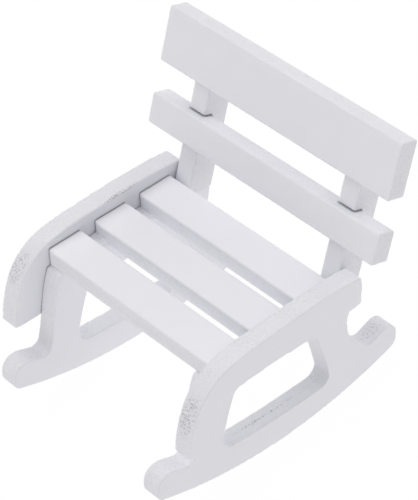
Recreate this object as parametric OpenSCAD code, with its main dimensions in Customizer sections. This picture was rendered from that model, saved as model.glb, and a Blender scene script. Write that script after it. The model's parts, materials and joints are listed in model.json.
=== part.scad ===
// Miniature slatted rocking chair in white painted wood.
// Eleven separate boards and sticks, glued together, standing on two curved runners.
// Units are millimetres and degrees.
//
// The shapes are drawn in the seat frame first: Y runs from the front of the seat to the
// back, Z is measured up from the top of the seat, and Y is 0 at the front slat's front edge.
// The whole chair is then tipped back by rest_tilt and set down on its runners, so that in
// the finished part Z = 0 is the floor, the front faces -Y and the left side is at -X.

/* [Side boards] */
// Width over the outer faces of the two arm boards
overall_w = 72; // [50:0.5:110]
// Thickness of the outer arm boards
arm_t = 5.5; // [3:0.1:9]
// Thickness of the inner rocker frame boards
frame_t = 5.6; // [3:0.1:9]

/* [Seat] */
// Width of a seat slat, front to back
slat_w = 11; // [7:0.1:14]
// Open gap between two slats
slat_gap = 4.4; // [2:0.1:7]
// Thickness of a seat slat
slat_t = 5.4; // [3:0.1:7]
// Radius on the long edges of a slat
slat_edge_r = 0.7; // [0.3:0.1:2]
// Angle by which the slats rise towards the back, against the arms
seat_slope = 1.4; // [0:0.1:3]
// Clearance between a slat end and the arm board
slat_end_gap = 0.1; // [0.05:0.05:0.5]

/* [Arm boards] */
// Height of the arm's top edge above the seat
arm_above = 3.2; // [1:0.1:8]
// Height of the arm's straight rear part
arm_h = 8.7; // [6:0.1:14]
// Distance of the arm's rear end behind the seat front
arm_back = 46; // [43.5:0.1:49]
// Depth of the arm's lower front end below the seat
arm_drop = 20; // [14:0.1:24]
// Length of arm foot, front to back
arm_foot = 10.4; // [6:0.1:12]
// Forward lean of the foot's rear edge from plumb
arm_foot_lean = 12.7; // [0:0.1:18]
// Where the top edge begins to curve down, behind the seat front
arm_bend_y = 14.7; // [6:0.1:22]
// Radius of the gentle first part of the curve
arm_r1 = 61.3; // [40:0.1:90]
// Angle turned on the first radius
arm_a1 = 11.7; // [5:0.1:20]
// Radius of the knuckle
arm_r2 = 16.5; // [10:0.1:24]
// Angle turned by the end of the knuckle
arm_a2 = 66.9; // [50:0.1:75]
// Radius of the front edge below the knuckle
arm_r3 = 35.5; // [25:0.1:60]
// Radius of the inside bend under the arm
arm_inner_r = 7.8; // [4:0.1:12]

/* [Rocker frames] */
// Radius of the runner's rolling edge
runner_r = 123.8; // [90:0.1:180]
// Centre of that radius, behind the seat front
runner_y = 23.6; // [18:0.1:30]
// Depth of the runner's rolling edge below the seat
runner_drop = 41.1; // [36:0.1:46]
// Forward reach of the front toe
toe_front = 18.3; // [12:0.1:24]
// Rearward reach of the rear toe, behind the seat front
toe_back = 64.9; // [58:0.1:72]
// Radius on top of the front toe
toe_front_r = 4; // [2:0.1:6]
// Radius on top of the rear toe
toe_back_r = 3.6; // [2:0.1:5]
// Radius under the front toe
toe_front_low_r = 1.8; // [0.5:0.1:3]
// Radius under the rear toe
toe_back_low_r = 3.2; // [0.5:0.1:4]
// Slope of the front toe's top, in degrees, rising forward
toe_front_slope = 19.3; // [5:0.1:30]
// Slope of the rear toe's top, in degrees, rising backward
toe_back_slope = 20.8; // [5:0.1:30]
// Depth of the crook between front leg and toe below the seat
toe_root = 29.4; // [26:0.1:32]
// Lean of the front leg's front edge from plumb
leg_lean = 12.9; // [5:0.1:20]
// Radius of the hollow behind the rear leg
hollow_r = 14.5; // [12:0.1:18]
// Radius of the same hollow's upper end
hollow_top_r = 7; // [6.4:0.1:9]
// Furthest forward point of that hollow, behind the seat front
hollow_y = 46.7; // [44:0.1:50]
// Depth of the hollow's centre below the seat
hollow_drop = 15.8; // [12:0.1:20]
// Depth of the window's top below the seat
win_top = 13.4; // [10:0.1:16]
// Depth of the window's bottom below the seat
win_bottom = 32.1; // [28:0.1:34]

/* [Back] */
// Backward lean of the back from plumb to the seat
recline = 17; // [8:0.5:25]
// Front face of the posts at seat height, behind the seat front
post_y = 43.4; // [43:0.1:46]
// Post width, side to side
post_w = 5.7; // [4:0.1:8]
// Post depth, front to back
post_d = 8.5; // [7:0.1:10]
// Glue gap between a post and the arm board beside it
post_gap = 0.4; // [0:0.05:0.8]
// Length of the two back rails
rail_len = 82.4; // [74:0.1:100]
// Thickness of the back rails
rail_t = 5.6; // [4:0.1:7]
// How far the rails stand proud of the posts' front faces
rail_proud = 2.5; // [1:0.1:3.5]
// Height of the lower rail
low_h = 9; // [6:0.1:11]
// Height of the top rail
top_h = 16; // [12:0.1:20]
// Start of the lower rail along the post, from the seat
low_s = 10.5; // [8:0.1:14]
// Start of the top rail along the post, from the seat
top_s = 28.5; // [25:0.1:32]
// Corner radius of the rails seen from the front
rail_corner_r = 0.8; // [0.7:0.1:3]
// Radius on the long edges of the rails
rail_edge_r = 0.7; // [0.3:0.1:0.7]
// How far the posts stop short of the top rail's top
post_short = 4.2; // [3.5:0.1:7]
// Slack above the lower rail in its notch
notch_slack = 0.35; // [0.1:0.05:0.6]

/* [Rest] */
// Angle the seat tips back when the chair stands still on its runners
rest_tilt = 4.6; // [0:0.1:8]

/* [Hidden] */
$fn = 96;
paint = [0.93, 0.93, 0.95];
joint_x = overall_w / 2 - arm_t;
slat_pitch = slat_w + slat_gap;
slat_len = 2 * (joint_x - slat_end_gap);
arc_c = [runner_y, runner_r - runner_drop];
seat_mid = (3 * slat_w + 2 * slat_gap) / 2;

// ---- plane helpers: an outline is a list of [y, z, r], counter-clockwise; r is the radius
// ---- of the arc from that point to the next, positive bulging out, negative hollow

function unit(v) = v / norm(v);

function line_at_y(p, a, y) = [y, p[1] + (y - p[0]) * tan(a)];

// a rounded corner at p between the edges coming from a and going to b
function bend(a, p, b, r) =
  let (u = unit(a - p))
  let (w = unit(b - p))
  let (t = r / tan(acos(u * w) / 2))
  let (s = (p[0] - a[0]) * (b[1] - p[1]) - (p[1] - a[1]) * (b[0] - p[0]) > 0 ? 1 : -1)
  [[p[0] + u[0] * t, p[1] + u[1] * t, s * r], [p[0] + w[0] * t, p[1] + w[1] * t, 0]];

// the ends stop where the arc stands 0.02 proud of the chord, so no sliver is left there
module bow(a, b, r, s) {
  p = [a[0], a[1]];
  q = [b[0], b[1]];
  l = norm(q - p);
  u = (q - p) / l;
  o = s * [u[1], -u[0]];
  h = sqrt(max(r * r - l * l / 4, 0));
  t = u * min(0.04 * h / l, l / 8);
  e = min(1, r / 4);
  intersection() {
    translate((p + q) / 2 - o * h) circle(r = r);
    polygon([p + t - o * e, p + t + o * (r - h + 1), q - t + o * (r - h + 1), q - t - o * e]);
  }
}

module outline(v) {
  n = len(v);
  difference() {
    union() {
      polygon([for (q = v) [q[0], q[1]]]);
      for (i = [0 : n - 1]) if (v[i][2] > 0) bow(v[i], v[(i + 1) % n], v[i][2], 1);
    }
    for (i = [0 : n - 1]) if (v[i][2] < 0) bow(v[i], v[(i + 1) % n], -v[i][2], -1);
  }
}

module rounded_rect(w, h, r) {
  translate([r, 0]) square([w - 2 * r, h]);
  translate([0, r]) square([w, h - 2 * r]);
  for (x = [r, w - r]) for (y = [r, h - r]) translate([x, y]) circle(r = r);
}

// a board cut to an outline in the side view, from x0 to x0 + t
module side_board(x0, t) {
  translate([x0, 0, 0]) rotate([90, 0, 90]) linear_extrude(height = t) children();
}

// ---- rocker frame: runner, two toes, front leg, rear leg and the rail under the slats

function seat_under(y) = (y - seat_mid) * tan(seat_slope) - slat_t / cos(seat_slope);

leg_top = [-0.8, seat_under(-0.8)];
leg_foot = [-0.8 - (toe_root - slat_t) * tan(leg_lean), -toe_root];
toe_f = line_at_y(leg_foot, -toe_front_slope, -toe_front);
hollow_c = [hollow_y + hollow_r, -hollow_drop];
toe_b0 = [60.3, -26.9];
toe_b = line_at_y(toe_b0, toe_back_slope, toe_back);

// the back edge runs on in the line of the posts' backs, then meets the hollow's upper end
back_line = [sin(recline), cos(recline)];
back_zero = [post_y + post_d / cos(recline), 0];
back_to_c = [hollow_y + hollow_top_r, -hollow_drop] - back_zero;
back_along = back_to_c * back_line;
back_low = back_zero + back_line
  * (back_along + sqrt(pow(hollow_top_r, 2) + pow(back_along, 2) - back_to_c * back_to_c));
back_high = back_zero + back_line * seat_under(back_zero[0])
  / (cos(recline) - sin(recline) * tan(seat_slope));

// runner end rounding: s = 1 at the front, -1 at the back
function low_c(y, r, s) =
  [y + s * r, arc_c[1] - sqrt(pow(runner_r - r, 2) - pow(y + s * r - arc_c[0], 2))];
lf = low_c(-toe_front, toe_front_low_r, 1);
lb = low_c(toe_back, toe_back_low_r, -1);
lf_on = arc_c + (lf - arc_c) * runner_r / (runner_r - toe_front_low_r);
lb_on = arc_c + (lb - arc_c) * runner_r / (runner_r - toe_back_low_r);

// small round between the rear toe's top and the hollow
root_r = 2.5;
tn = [-sin(toe_back_slope), cos(toe_back_slope)];
td = [cos(toe_back_slope), sin(toe_back_slope)];
rq = toe_b0 + tn * root_r - hollow_c;
rb = rq * td;
root_c = toe_b0 + tn * root_r + td * (-rb - sqrt(rb * rb - rq * rq + pow(hollow_r - root_r, 2)));
root_on = hollow_c + (root_c - hollow_c) * hollow_r / (hollow_r - root_r);

frame_pts = concat(
  bend([seat_mid, seat_under(seat_mid)], leg_top, leg_foot, 0.7),
  bend(leg_top, leg_foot, toe_f, 2.5),
  bend(leg_foot, toe_f, [-toe_front, -40], toe_front_r),
  [[-toe_front, lf[1], toe_front_low_r], [lf_on[0], lf_on[1], runner_r]],
  [[lb_on[0], lb_on[1], toe_back_low_r], [toe_back, lb[1], 0]],
  bend([toe_back, -40], toe_b, toe_b0, toe_back_r),
  [[root_c[0] - tn[0] * root_r, root_c[1] - tn[1] * root_r, -root_r]],
  [[root_on[0], root_on[1], -hollow_r], [hollow_y, -hollow_drop, -hollow_top_r]],
  [[back_low[0], back_low[1], 0], [back_high[0], back_high[1], 0]]);

wa = [2.1, -win_bottom + 0.5];
wb = [41.3, -win_bottom - 0.6];
wc = [35.7, -win_top];
wd = [7.9, -win_top];
window_pts = concat(bend(wd, wa, wb, 3.9), bend(wa, wb, wc, 3.1), bend(wb, wc, wd, 3),
  bend(wc, wd, wa, 3));

module rocker_frame() {
  side_board(joint_x - frame_t, frame_t) difference() {
    outline(frame_pts);
    outline(window_pts);
  }
}

// ---- arm board: straight behind, curving down in front into a foot above the toe

a_top = arm_above;
a_low = arm_above - arm_h;
a0 = [arm_bend_y, a_top];
ac1 = a0 - [0, arm_r1];
a1 = ac1 + arm_r1 * [-sin(arm_a1), cos(arm_a1)];
ac2 = a1 - arm_r2 * [-sin(arm_a1), cos(arm_a1)];
a2 = ac2 + arm_r2 * [-sin(arm_a2), cos(arm_a2)];
ac3 = a2 - arm_r3 * [-sin(arm_a2), cos(arm_a2)];
a3 = [ac3[0] - sqrt(pow(arm_r3, 2) - pow(ac3[1] + arm_drop, 2)), -arm_drop];
foot_b = [a3[0] + arm_foot, -arm_drop];
arm_in = [foot_b[0] + (arm_drop + a_low) * tan(arm_foot_lean), a_low];

arm_pts = concat(
  [[a3[0], a3[1], 0], [foot_b[0], foot_b[1], 0]],
  bend(foot_b, arm_in, [arm_back, a_low], arm_inner_r),
  bend(arm_in, [arm_back, a_low], [arm_back, a_top], 0.9),
  bend([arm_back, a_low], [arm_back, a_top], a0, 0.6),
  [[a0[0], a0[1], arm_r1], [a1[0], a1[1], arm_r2], [a2[0], a2[1], arm_r3]]);

module arm() {
  side_board(joint_x, arm_t) outline(arm_pts);
}

// ---- seat slat number i, counted from the front

module slat(i) {
  y = i * slat_pitch - seat_mid;
  translate([0, seat_mid, 0]) rotate([seat_slope, 0, 0]) intersection() {
    side_board(-slat_len / 2, slat_len)
      translate([y, -slat_t]) rounded_rect(slat_w, slat_t, slat_edge_r);
    translate([-slat_len / 2, y, -slat_t - 1])
      linear_extrude(height = slat_t + 2) rounded_rect(slat_len, slat_w, slat_edge_r);
  }
}

// ---- back: reclined posts with a notch for each rail

module lean() {
  translate([0, post_y, 0]) rotate([-recline, 0, 0]) children();
}

notch = rail_t - rail_proud;
foot_s = -slat_t / cos(recline);
post_top = top_s + top_h - post_short;

module post() {
  x0 = joint_x - post_gap - post_w;
  lean() difference() {
    translate([x0, 0, foot_s]) linear_extrude(height = post_top - foot_s)
      rounded_rect(post_w, post_d, 0.5);
    translate([x0 - 1, -1, low_s]) cube([post_w + 2, notch + 1, low_h + notch_slack]);
    translate([x0 - 1, -1, top_s]) cube([post_w + 2, notch + 1, top_h]);
    rotate([recline, 0, 0]) translate([x0 - 1, 0, seat_under(post_y)])
      rotate([seat_slope, 0, 0]) translate([0, -10, -10]) cube([post_w + 2, 30, 10]);
  }
}

module rail(s, h) {
  lean() intersection() {
    translate([0, notch, s]) rotate([90, 0, 0]) linear_extrude(height = rail_t)
      translate([-rail_len / 2, 0]) rounded_rect(rail_len, h, rail_corner_r);
    side_board(-rail_len / 2 - 1, rail_len + 2)
      translate([-rail_proud, s]) rounded_rect(rail_t, h, rail_edge_r);
  }
}

// ---- setting the chair down: turn about the runner's centre, then drop to the floor

front_tip = lf - arc_c;
back_tip = [post_y + post_top * sin(recline) + post_d * cos(recline),
  post_top * cos(recline) - post_d * sin(recline)] - arc_c;
y_front = front_tip[0] * cos(rest_tilt) + front_tip[1] * sin(rest_tilt) - toe_front_low_r;
y_back = back_tip[0] * cos(rest_tilt) + back_tip[1] * sin(rest_tilt);
y_shift = -(y_front + y_back) / 2;

module set_down() {
  translate([0, y_shift, runner_r])
    rotate([-rest_tilt, 0, 0])
      translate([0, -arc_c[0], -arc_c[1]])
        children();
}

// ---- the eleven pieces

module frame_left() {
  color(paint) set_down() mirror([1, 0, 0]) rocker_frame();
}

module frame_right() {
  color(paint) set_down() rocker_frame();
}

module arm_left() {
  color(paint) set_down() mirror([1, 0, 0]) arm();
}

module arm_right() {
  color(paint) set_down() arm();
}

module slat_front() {
  color(paint) set_down() slat(0);
}

module slat_middle() {
  color(paint) set_down() slat(1);
}

module slat_rear() {
  color(paint) set_down() slat(2);
}

module post_left() {
  color(paint) set_down() mirror([1, 0, 0]) post();
}

module post_right() {
  color(paint) set_down() post();
}

module rail_lower() {
  color(paint) set_down() rail(low_s, low_h);
}

module rail_top() {
  color(paint) set_down() rail(top_s, top_h);
}

frame_left();
frame_right();
arm_left();
arm_right();
slat_front();
slat_middle();
slat_rear();
post_left();
post_right();
rail_lower();
rail_top();
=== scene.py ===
# Looks for the miniature rocking chair: each board gets its own softened, painted mesh made from
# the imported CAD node, in place of the node itself.
import json
import math

import bpy
import bmesh
import numpy as np
from mathutils import Matrix, Vector, noise
from mathutils.bvhtree import BVHTree


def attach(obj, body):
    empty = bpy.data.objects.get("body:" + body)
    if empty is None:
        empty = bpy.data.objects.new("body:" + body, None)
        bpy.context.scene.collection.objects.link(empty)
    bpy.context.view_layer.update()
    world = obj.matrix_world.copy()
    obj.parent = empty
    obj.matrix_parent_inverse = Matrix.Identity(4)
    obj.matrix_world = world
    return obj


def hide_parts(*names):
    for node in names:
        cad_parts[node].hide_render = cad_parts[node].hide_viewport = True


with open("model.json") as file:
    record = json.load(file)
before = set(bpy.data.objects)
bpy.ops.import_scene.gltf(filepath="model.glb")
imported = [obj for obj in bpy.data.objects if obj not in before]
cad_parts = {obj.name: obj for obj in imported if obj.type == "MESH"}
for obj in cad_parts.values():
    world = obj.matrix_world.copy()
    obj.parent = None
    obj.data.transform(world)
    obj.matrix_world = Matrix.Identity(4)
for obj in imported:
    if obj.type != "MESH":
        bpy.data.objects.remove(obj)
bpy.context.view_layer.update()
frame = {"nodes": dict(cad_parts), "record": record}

MM = 0.001
seat_axis = {m["name"]: m for m in frame["record"]["mounts"]}["seat_top"]["axis"]
SEAT_SLOPE = math.radians(1.4)  # how far the slats rise towards the back, against the side boards
RECLINE = math.radians(17)  # how far the posts and rails lean back from the side boards' upright
SEAT_TILT = math.atan2(seat_axis[1], seat_axis[2])  # how far the slats tip back at rest
TILT = SEAT_TILT + SEAT_SLOPE  # the same for the side boards
BACK_TILT = TILT + RECLINE  # the same for the posts and rails

SIDES = ("frame_left", "frame_right", "arm_left", "arm_right")
SLATS = ("slat_front", "slat_middle", "slat_rear")
POSTS = ("post_left", "post_right")
RAILS = ("rail_lower", "rail_top")


# ---- reading the CAD boards in their own frames, in millimetres

def own_frame(angle):
    """Turns the row frame into a board's own frame: rows are the own axes."""
    c, s = math.cos(angle), math.sin(angle)
    return np.array([[1, 0, 0], [0, c, -s], [0, s, c]])


def read_node(node, angle):
    mesh = frame["nodes"][node].data
    points = np.array([v.co for v in mesh.vertices], float) / MM @ own_frame(angle).T
    faces = [list(p.vertices) for p in mesh.polygons]
    return points, faces


def welded(points, faces, gap=1e-3):
    """The same mesh with vertices in one place joined."""
    key = np.round(points / gap).astype(np.int64)
    _, first, back = np.unique(key, axis=0, return_index=True, return_inverse=True)
    back = back.reshape(-1)
    kept = []
    for f in faces:
        g = [int(back[i]) for i in f]
        if len(set(g)) == len(g):
            kept.append(g)
    return points[first], kept


def outline_loops(node, flatness=0.01):
    """The closed outlines of a side board, as (y, z) points, and its two x planes."""
    points, faces = welded(*read_node(node, TILT))
    x0, x1 = points[:, 0].min(), points[:, 0].max()
    flat = [f for f in faces if all(abs(points[i, 0] - x1) < flatness for i in f)]
    edges = {}
    for f in flat:
        for a, b in zip(f, f[1:] + f[:1]):
            if (b, a) in edges:
                del edges[(b, a)]
            else:
                edges[(a, b)] = True
    following = {a: b for a, b in edges}
    loops = []
    while following:
        start, at = next(iter(following.items()))
        loop = [start]
        del following[start]
        while at != start:
            loop.append(at)
            at = following.pop(at)
        loops.append(points[loop][:, 1:])
    return loops, x0, x1


def thinned(loop, gap=0.12):
    """Joins outline points that stand closer than gap."""
    out = [loop[0]]
    for p in loop[1:]:
        if np.linalg.norm(p - out[-1]) < gap:
            out[-1] = (out[-1] + p) / 2
        else:
            out.append(p)
    if np.linalg.norm(out[0] - out[-1]) < gap:
        out.pop()
    return np.array(out)


def smooth_outline(loop, corner=38, step=0.3):
    """Passes a curve through the outline's points, one point every step mm.

    Where the outline turns by more than corner degrees, the corner stays sharp.
    """
    p = thinned(loop)
    n = len(p)
    before, after = p - np.roll(p, 1, 0), np.roll(p, -1, 0) - p
    lb, la = np.linalg.norm(before, axis=1), np.linalg.norm(after, axis=1)
    cross = before[:, 0] * after[:, 1] - before[:, 1] * after[:, 0]
    turn = np.degrees(np.abs(np.arctan2(cross, (before * after).sum(1))))
    sharp = turn > corner
    # direction of the curve at each point: weighted towards the shorter neighbour
    tangent = before / lb[:, None] * la[:, None] + after / la[:, None] * lb[:, None]
    tangent /= np.linalg.norm(tangent, axis=1)[:, None]
    out = []
    for i in range(n):
        j = (i + 1) % n
        length = la[i]
        chord = after[i] / length
        t0 = chord if sharp[i] else tangent[i]
        t1 = chord if sharp[j] else tangent[j]
        count = max(1, int(math.ceil(length / step)))
        for k in range(count):
            u = k / count
            h00, h10 = 2 * u**3 - 3 * u**2 + 1, u**3 - 2 * u**2 + u
            h01, h11 = -2 * u**3 + 3 * u**2, u**3 - u**2
            out.append(h00 * p[i] + h10 * length * t0 + h01 * p[j] + h11 * length * t1)
    return np.array(out)


# ---- soft, dense meshes

VOXEL = 0.25  # mm


def plate(node):
    """A side board as one closed mesh between its two x planes, from its smoothed outlines."""
    loops, x0, x1 = outline_loops(node)
    bm = bmesh.new()
    edges = []
    for loop in loops:
        ring = [bm.verts.new((x0, y, z)) for y, z in smooth_outline(loop)]
        edges += [bm.edges.new((a, b)) for a, b in zip(ring, ring[1:] + ring[:1])]
    bmesh.ops.triangle_fill(bm, edges=edges, use_beauty=True, use_dissolve=False)
    made = bmesh.ops.extrude_face_region(bm, geom=bm.faces[:])
    moved = [v for v in made["geom"] if isinstance(v, bmesh.types.BMVert)]
    bmesh.ops.translate(bm, verts=moved, vec=(x1 - x0, 0, 0))
    bmesh.ops.recalc_face_normals(bm, faces=bm.faces[:])
    mesh = bpy.data.meshes.new(node)
    bm.to_mesh(mesh)
    bm.free()
    return mesh


def stick(node, angle):
    """A slat, post or rail as one closed mesh in its own frame."""
    points, faces = welded(*read_node(node, angle))
    mesh = bpy.data.meshes.new(node)
    mesh.from_pydata(points.tolist(), [], faces)
    return mesh


def softened(mesh):
    """Rebuilds a mesh as small even faces and rounds its edges over."""
    ob = bpy.data.objects.new("work", mesh)
    bpy.context.scene.collection.objects.link(ob)
    remesh = ob.modifiers.new("even", "REMESH")
    remesh.mode, remesh.voxel_size, remesh.adaptivity = "VOXEL", VOXEL, 0
    smooth = ob.modifiers.new("soft", "SMOOTH")
    smooth.factor, smooth.iterations = 0.5, 1
    shown = ob.evaluated_get(bpy.context.evaluated_depsgraph_get())
    out = bpy.data.meshes.new_from_object(shown)
    bpy.data.objects.remove(ob)
    bpy.data.meshes.remove(mesh)
    return out


def arrays(mesh):
    """The mesh's points and normals, one row each."""
    n = len(mesh.vertices)
    co, no = np.empty(n * 3), np.empty(n * 3)
    mesh.vertices.foreach_get("co", co)
    mesh.vertex_normals.foreach_get("vector", no)
    return co.reshape(-1, 3), no.reshape(-1, 3)


def wavy(points, scale, seed):
    """Smooth noise, -1 to 1, with features about scale mm across; seed picks another place in it."""
    off = Vector((seed * 17.3, seed * 5.1, seed * 9.7))
    return np.array([noise.noise(Vector(p) + off) for p in points / scale])


def soft_step(low, high, value):
    """0 below low, 1 above high, smooth between."""
    t = np.clip((value - low) / (high - low), 0, 1)
    return t * t * (3 - 2 * t)


# the joints on top of the frames are filled and painted over, so they get no dark seam and no painted
# shade
FILLED = {"post": "frame", "slat": "frame", "frame": ("post", "slat")}
# The seam mark darkens the paint where boards stand close: partly a dark joint line, partly painted shade
# where the crevice between boards would be shaded.
SEAM_GAP = 0.1  # mm: boards that stand this close show a dark seam
NOTCH_GAP = 0.36  # mm: the same where the posts' notches stand open above the lower rail
SEAM_FADE = 0.2  # mm: the seam has faded out this much further away


def find_seam_and_shade(node, points):
    """1 where another board lies against this one, fading to 0 beside the joint: this marks the dark seam
    and the painted shade of the crevice there.
    """
    filled = FILLED.get(node.split("_")[0], "none")
    corners, faces = [], []
    for other in frame["nodes"]:
        if other != node and not other.startswith(filled):
            co, polygons = read_node(other, 0)
            faces += [[i + len(corners) for i in f] for f in polygons]
            corners += co.tolist()
    tree = BVHTree.FromPolygons(corners, faces)
    reach = 0.6  # mm: further away counts as this far
    found = (tree.find_nearest(p, reach)[3] for p in points.tolist())
    gap = np.array([reach if d is None else d for d in found])
    near = NOTCH_GAP if node == "rail_lower" else SEAM_GAP
    return 1 - soft_step(near, near + SEAM_FADE, gap)


# Worn or chipped places: where, as fractions of the board's own box, half-size in mm, and how worn.
WEAR = {
    "arm_left": [
        ((1.0, 0.62, 1.0), (0.8, 7.0, 0.8), 1.0),
        ((0.4, 0.08, 0.70), (2.6, 4.5, 6.0), 0.5),
    ],
    "arm_right": [
        ((0.5, 0.05, 0.45), (2.6, 4.0, 7.0), 0.6),
        ((0.1, 0.42, 1.0), (0.8, 6.0, 0.8), 0.6),
    ],
    "frame_right": [
        ((0.47, 0.51, 0.25), (0.5, 15.0, 1.2), 1.0),
        ((0.5, 0.90, 0.37), (1.9, 4.5, 2.4), 0.35),
    ],
}


def worn(node, co):
    """How worn the paint is at each point, 0 to 1."""
    low, high = co.min(0), co.max(0)
    wear = np.zeros(len(co))
    for place, half, amount in WEAR.get(node, []):
        centre = low + (high - low) * place
        away = np.linalg.norm((co - centre) / half, axis=1)
        wear = np.maximum(wear, amount * (1 - soft_step(0.6, 1.2, away)))
    return wear


SWELL, RIPPLE, ROUGHNESS = 0.04, 0.012, 0.06  # mm: heights of the paint's unevenness


def painted(node, mesh, angle, grain, broad, seed, material):
    """Finishes one board: even mesh, hand-painted unevenness, placed where the CAD has it.

    grain is the axis that the brush ran along, broad the axis that the two wide faces look along.
    """
    mesh = softened(mesh)
    mesh.name = node + "_board"
    co, no = arrays(mesh)
    wear = worn(node, co)
    # dark joint lines plus painted shade where this board meets the others
    seam_and_shade = find_seam_and_shade(node, co @ own_frame(angle))
    # the sawn rim between the two broad faces is rougher than they are
    rim = soft_step(0.2, 0.75, 1 - np.abs(no[:, broad]))
    along = np.array([0.3 if i == grain else 1.0 for i in range(3)])
    dent = SWELL * wavy(co * along, 7.0, seed) + RIPPLE * wavy(co * along, 1.8, seed + 0.5)
    dent += (0.25 * rim + wear) * ROUGHNESS * (wavy(co, 0.8, seed + 0.8) - 0.3)
    co = (co + no * dent[:, None]) * MM
    mesh.vertices.foreach_set("co", co.astype(np.float32).ravel())
    for name, values in (("rim", rim), ("wear", wear), ("seam_and_shade", seam_and_shade)):
        layer = mesh.attributes.new(name, "FLOAT", "POINT")
        layer.data.foreach_set("value", values.astype(np.float32))
    mesh.update()
    mesh.shade_smooth()
    mesh.materials.append(material)
    ob = bpy.data.objects.new(node + "_board", mesh)
    bpy.context.scene.collection.objects.link(ob)
    ob.matrix_world = Matrix(own_frame(angle).T.tolist()).to_4x4()
    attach(ob, "root")
    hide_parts(node)
    return ob


# ---- white paint on wood

class Graph:
    """Short calls for building a material's node tree."""

    def __init__(self, material):
        material.use_nodes = True
        self.tree = material.node_tree
        self.tree.nodes.clear()

    def node(self, kind, **settings):
        made = self.tree.nodes.new("ShaderNode" + kind)
        for name, value in settings.items():
            setattr(made, name, value)
        return made

    def link(self, source, target):
        self.tree.links.new(source, target)

    def math(self, operation, *terms):
        """One sum on numbers and sockets."""
        made = self.node("Math", operation=operation)
        for socket, term in zip(made.inputs, terms):
            if isinstance(term, (int, float)):
                socket.default_value = term
            else:
                self.link(term, socket)
        return made.outputs[0]

    def attribute(self, name):
        return self.node("Attribute", attribute_name=name).outputs["Fac"]

    def noise(self, stretch, feature, detail, seed):
        """Noise with features about so many mm across, drawn out along an axis by stretch."""
        mapping = self.node("Mapping")
        self.link(self.node("TexCoord").outputs["Object"], mapping.inputs["Vector"])
        mapping.inputs["Scale"].default_value = [1 / (MM * feature * k) for k in stretch]
        mapping.inputs["Location"].default_value = (seed * 3.7, seed * 1.9, seed * 5.3)
        made = self.node("TexNoise")
        made.inputs["Scale"].default_value = 1
        made.inputs["Detail"].default_value = detail
        self.link(mapping.outputs[0], made.inputs["Vector"])
        return made.outputs["Fac"]

    def step(self, value, low, high):
        """0 below low, 1 above high, smooth between."""
        made = self.node("MapRange", interpolation_type="SMOOTHSTEP")
        self.link(value, made.inputs["Value"])
        made.inputs["From Min"].default_value, made.inputs["From Max"].default_value = low, high
        return made.outputs[0]


WHITE = (0.86, 0.857, 0.9)
BRUSH_MARKS, SAW_MARKS, PIT_DEPTH, CHIP_DEPTH = 0.006, 0.05, 0.03, 0.07  # mm


def paint(name, grain):
    """Satin white paint, brushed along one axis: 0, 1 or 2 for x, y or z."""
    material = bpy.data.materials.new(name)
    g = Graph(material)
    lengthwise = [1, 1, 1]
    lengthwise[grain] = 12
    even = (1, 1, 1)
    rim, wear, seam_and_shade = g.attribute("rim"), g.attribute("wear"), g.attribute("seam_and_shade")
    brush = g.noise(lengthwise, 0.55, 2, 1)
    mottle = g.noise(even, 9, 2, 2)
    sawn = g.noise([k if k > 1 else 0.7 for k in lengthwise], 0.5, 3, 3)
    speck = g.noise(even, 0.42, 1, 4)
    patchy = g.noise(even, 5, 1, 5)
    fine = g.noise(even, 0.3, 1, 6)

    # chips where the board is worn, pits in patches of the rim
    chips = g.math("MULTIPLY", g.step(speck, 0.50, 0.62), wear)
    pits = g.math("MULTIPLY", g.math("MULTIPLY", g.step(speck, 0.55, 0.7), rim), g.step(patchy, 0.4, 0.62))

    # height in mm: faint brush marks, saw marks under the paint on the rim, pits and chips
    height = g.math("MULTIPLY", brush, BRUSH_MARKS)
    height = g.math("ADD", height, g.math("MULTIPLY", g.math("MULTIPLY", sawn, rim), SAW_MARKS))
    height = g.math("SUBTRACT", height, g.math("MULTIPLY", pits, PIT_DEPTH))
    height = g.math("SUBTRACT", height, g.math("MULTIPLY", chips, CHIP_DEPTH))
    bump = g.node("Bump")
    bump.inputs["Strength"].default_value = 1
    bump.inputs["Distance"].default_value = MM
    g.link(height, bump.inputs["Height"])

    # tone, as a share of full white
    tone = g.math("ADD", g.math("MULTIPLY", g.math("SUBTRACT", mottle, 0.5), 0.03), 1)
    grain_depth = g.math("ADD", g.math("MULTIPLY", rim, 0.2), 0.03)
    tone = g.math("ADD", tone, g.math("MULTIPLY", g.math("SUBTRACT", fine, 0.5), grain_depth))
    for mask, darker in ((rim, 0.05), (pits, 0.08), (chips, 0.45)):
        tone = g.math("SUBTRACT", tone, g.math("MULTIPLY", mask, darker))
    # painted shade: the paint is up to 0.4 darker along the seams between boards, partly a dark joint,
    # partly shade painted into the crevices
    tone = g.math("MULTIPLY", tone, g.math("SUBTRACT", 1, g.math("MULTIPLY", seam_and_shade, 0.4)))
    shade = g.node("VectorMath", operation="SCALE")
    shade.inputs[0].default_value = WHITE
    g.link(tone, shade.inputs["Scale"])

    skin, out = g.node("BsdfPrincipled"), g.node("OutputMaterial")
    g.link(shade.outputs[0], skin.inputs["Base Color"])
    rough = g.math("ADD", g.math("MULTIPLY", brush, 0.16), g.math("MULTIPLY", rim, 0.15))
    g.link(g.math("ADD", rough, 0.38), skin.inputs["Roughness"])
    skin.inputs["Specular IOR Level"].default_value = 0.4
    g.link(bump.outputs[0], skin.inputs["Normal"])
    g.link(skin.outputs[0], out.inputs[0])
    return material


# ---- the boards

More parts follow.
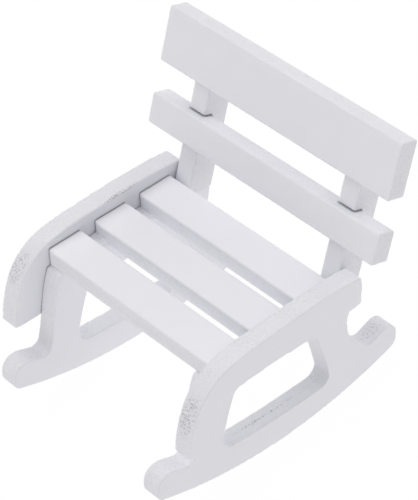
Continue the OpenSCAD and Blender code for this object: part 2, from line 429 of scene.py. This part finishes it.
PAINTS = [paint("white_paint_" + "xyz"[i], i) for i in range(3)]
for k, node in enumerate(SIDES):
    painted(node, plate(node), TILT, 1, 0, k + 1, PAINTS[1])
for k, node in enumerate(SLATS):
    painted(node, stick(node, SEAT_TILT), SEAT_TILT, 0, 2, k + 11, PAINTS[0])
for k, node in enumerate(POSTS):
    painted(node, stick(node, BACK_TILT), BACK_TILT, 2, 1, k + 21, PAINTS[2])
for k, node in enumerate(RAILS):
    painted(node, stick(node, BACK_TILT), BACK_TILT, 0, 1, k + 31, PAINTS[0])


# ---- camera at the photograph's angle

AZIMUTH, ELEVATION, ROLL = map(math.radians, (52.11, 43.19, -7.05))
TARGET = Vector((7.76, -0.84, 51.4)) * MM
DISTANCE = 597.06 * MM
SENSOR, LENS = 36, 174.23


def direction(azimuth, elevation):
    """The way out from the chair, with azimuth 0 in front of it and 90 on its right, in radians."""
    level = math.cos(elevation)
    return Vector((math.sin(azimuth) * level, -math.cos(azimuth) * level, math.sin(elevation)))


out_dir = direction(AZIMUTH, ELEVATION)
camera = bpy.data.objects.new("camera", bpy.data.cameras.new("camera"))
bpy.context.scene.collection.objects.link(camera)
camera.location = TARGET + out_dir * DISTANCE
camera.rotation_mode = "QUATERNION"
roll_turn = Matrix.Rotation(ROLL, 3, "Z").to_quaternion()
camera.rotation_quaternion = (-out_dir).to_track_quat("-Z", "Y") @ roll_turn
camera.data.sensor_width, camera.data.lens = SENSOR, LENS
camera.data.clip_start, camera.data.clip_end = 0.01, 20
bpy.context.scene.camera = camera


# ---- floor and light

scene = bpy.context.scene
scene.view_settings.view_transform = "Standard"

REACH = 3  # metres from the chair to the floor's edges
floor_mesh = bpy.data.meshes.new("floor")
corners = [(-REACH, -REACH, 0), (REACH, -REACH, 0), (REACH, REACH, 0), (-REACH, REACH, 0)]
floor_mesh.from_pydata(corners, [], [(0, 1, 2, 3)])
floor = bpy.data.objects.new("floor", floor_mesh)
scene.collection.objects.link(floor)

# a floor that glows evenly, so that it stays white and shows no shadow
floor_material = bpy.data.materials.new("floor")
graph = Graph(floor_material)
floor_out, floor_skin = graph.node("OutputMaterial"), graph.node("BsdfPrincipled")
graph.link(floor_skin.outputs[0], floor_out.inputs[0])
floor_skin.inputs["Base Color"].default_value = (0.06, 0.06, 0.06, 1)
floor_skin.inputs["Roughness"].default_value = 0.9
floor_skin.inputs["Specular IOR Level"].default_value = 0
floor_skin.inputs["Emission Color"].default_value = (1, 1, 1, 1)
floor_skin.inputs["Emission Strength"].default_value = 0.95
floor_mesh.materials.append(floor_material)

world = bpy.data.worlds.new("world")
scene.world = world
world.use_nodes = True
sky = world.node_tree.nodes["Background"]
sky.inputs["Color"].default_value = (1, 1, 1, 1)
sky.inputs["Strength"].default_value = 0.2


SUN_SPREAD = math.radians(60)


def sun(name, azimuth, elevation, energy):
    """A soft light from far away; azimuth and elevation as in the camera's, in degrees."""
    data = bpy.data.lights.new(name, "SUN")
    data.energy, data.angle = energy, SUN_SPREAD
    ob = bpy.data.objects.new(name, data)
    scene.collection.objects.link(ob)
    ob.location = direction(math.radians(azimuth), math.radians(elevation))
    ob.rotation_mode = "QUATERNION"
    ob.rotation_quaternion = (-ob.location).to_track_quat("-Z", "Y")


sun("front", 20, 42, 0.6)
sun("left_front", -30, 62, 0.4)
sun("left", -90, 63, 1.0)
sun("right", 112, 42, 0.42)
sun("back", 180, 26, 0.9)
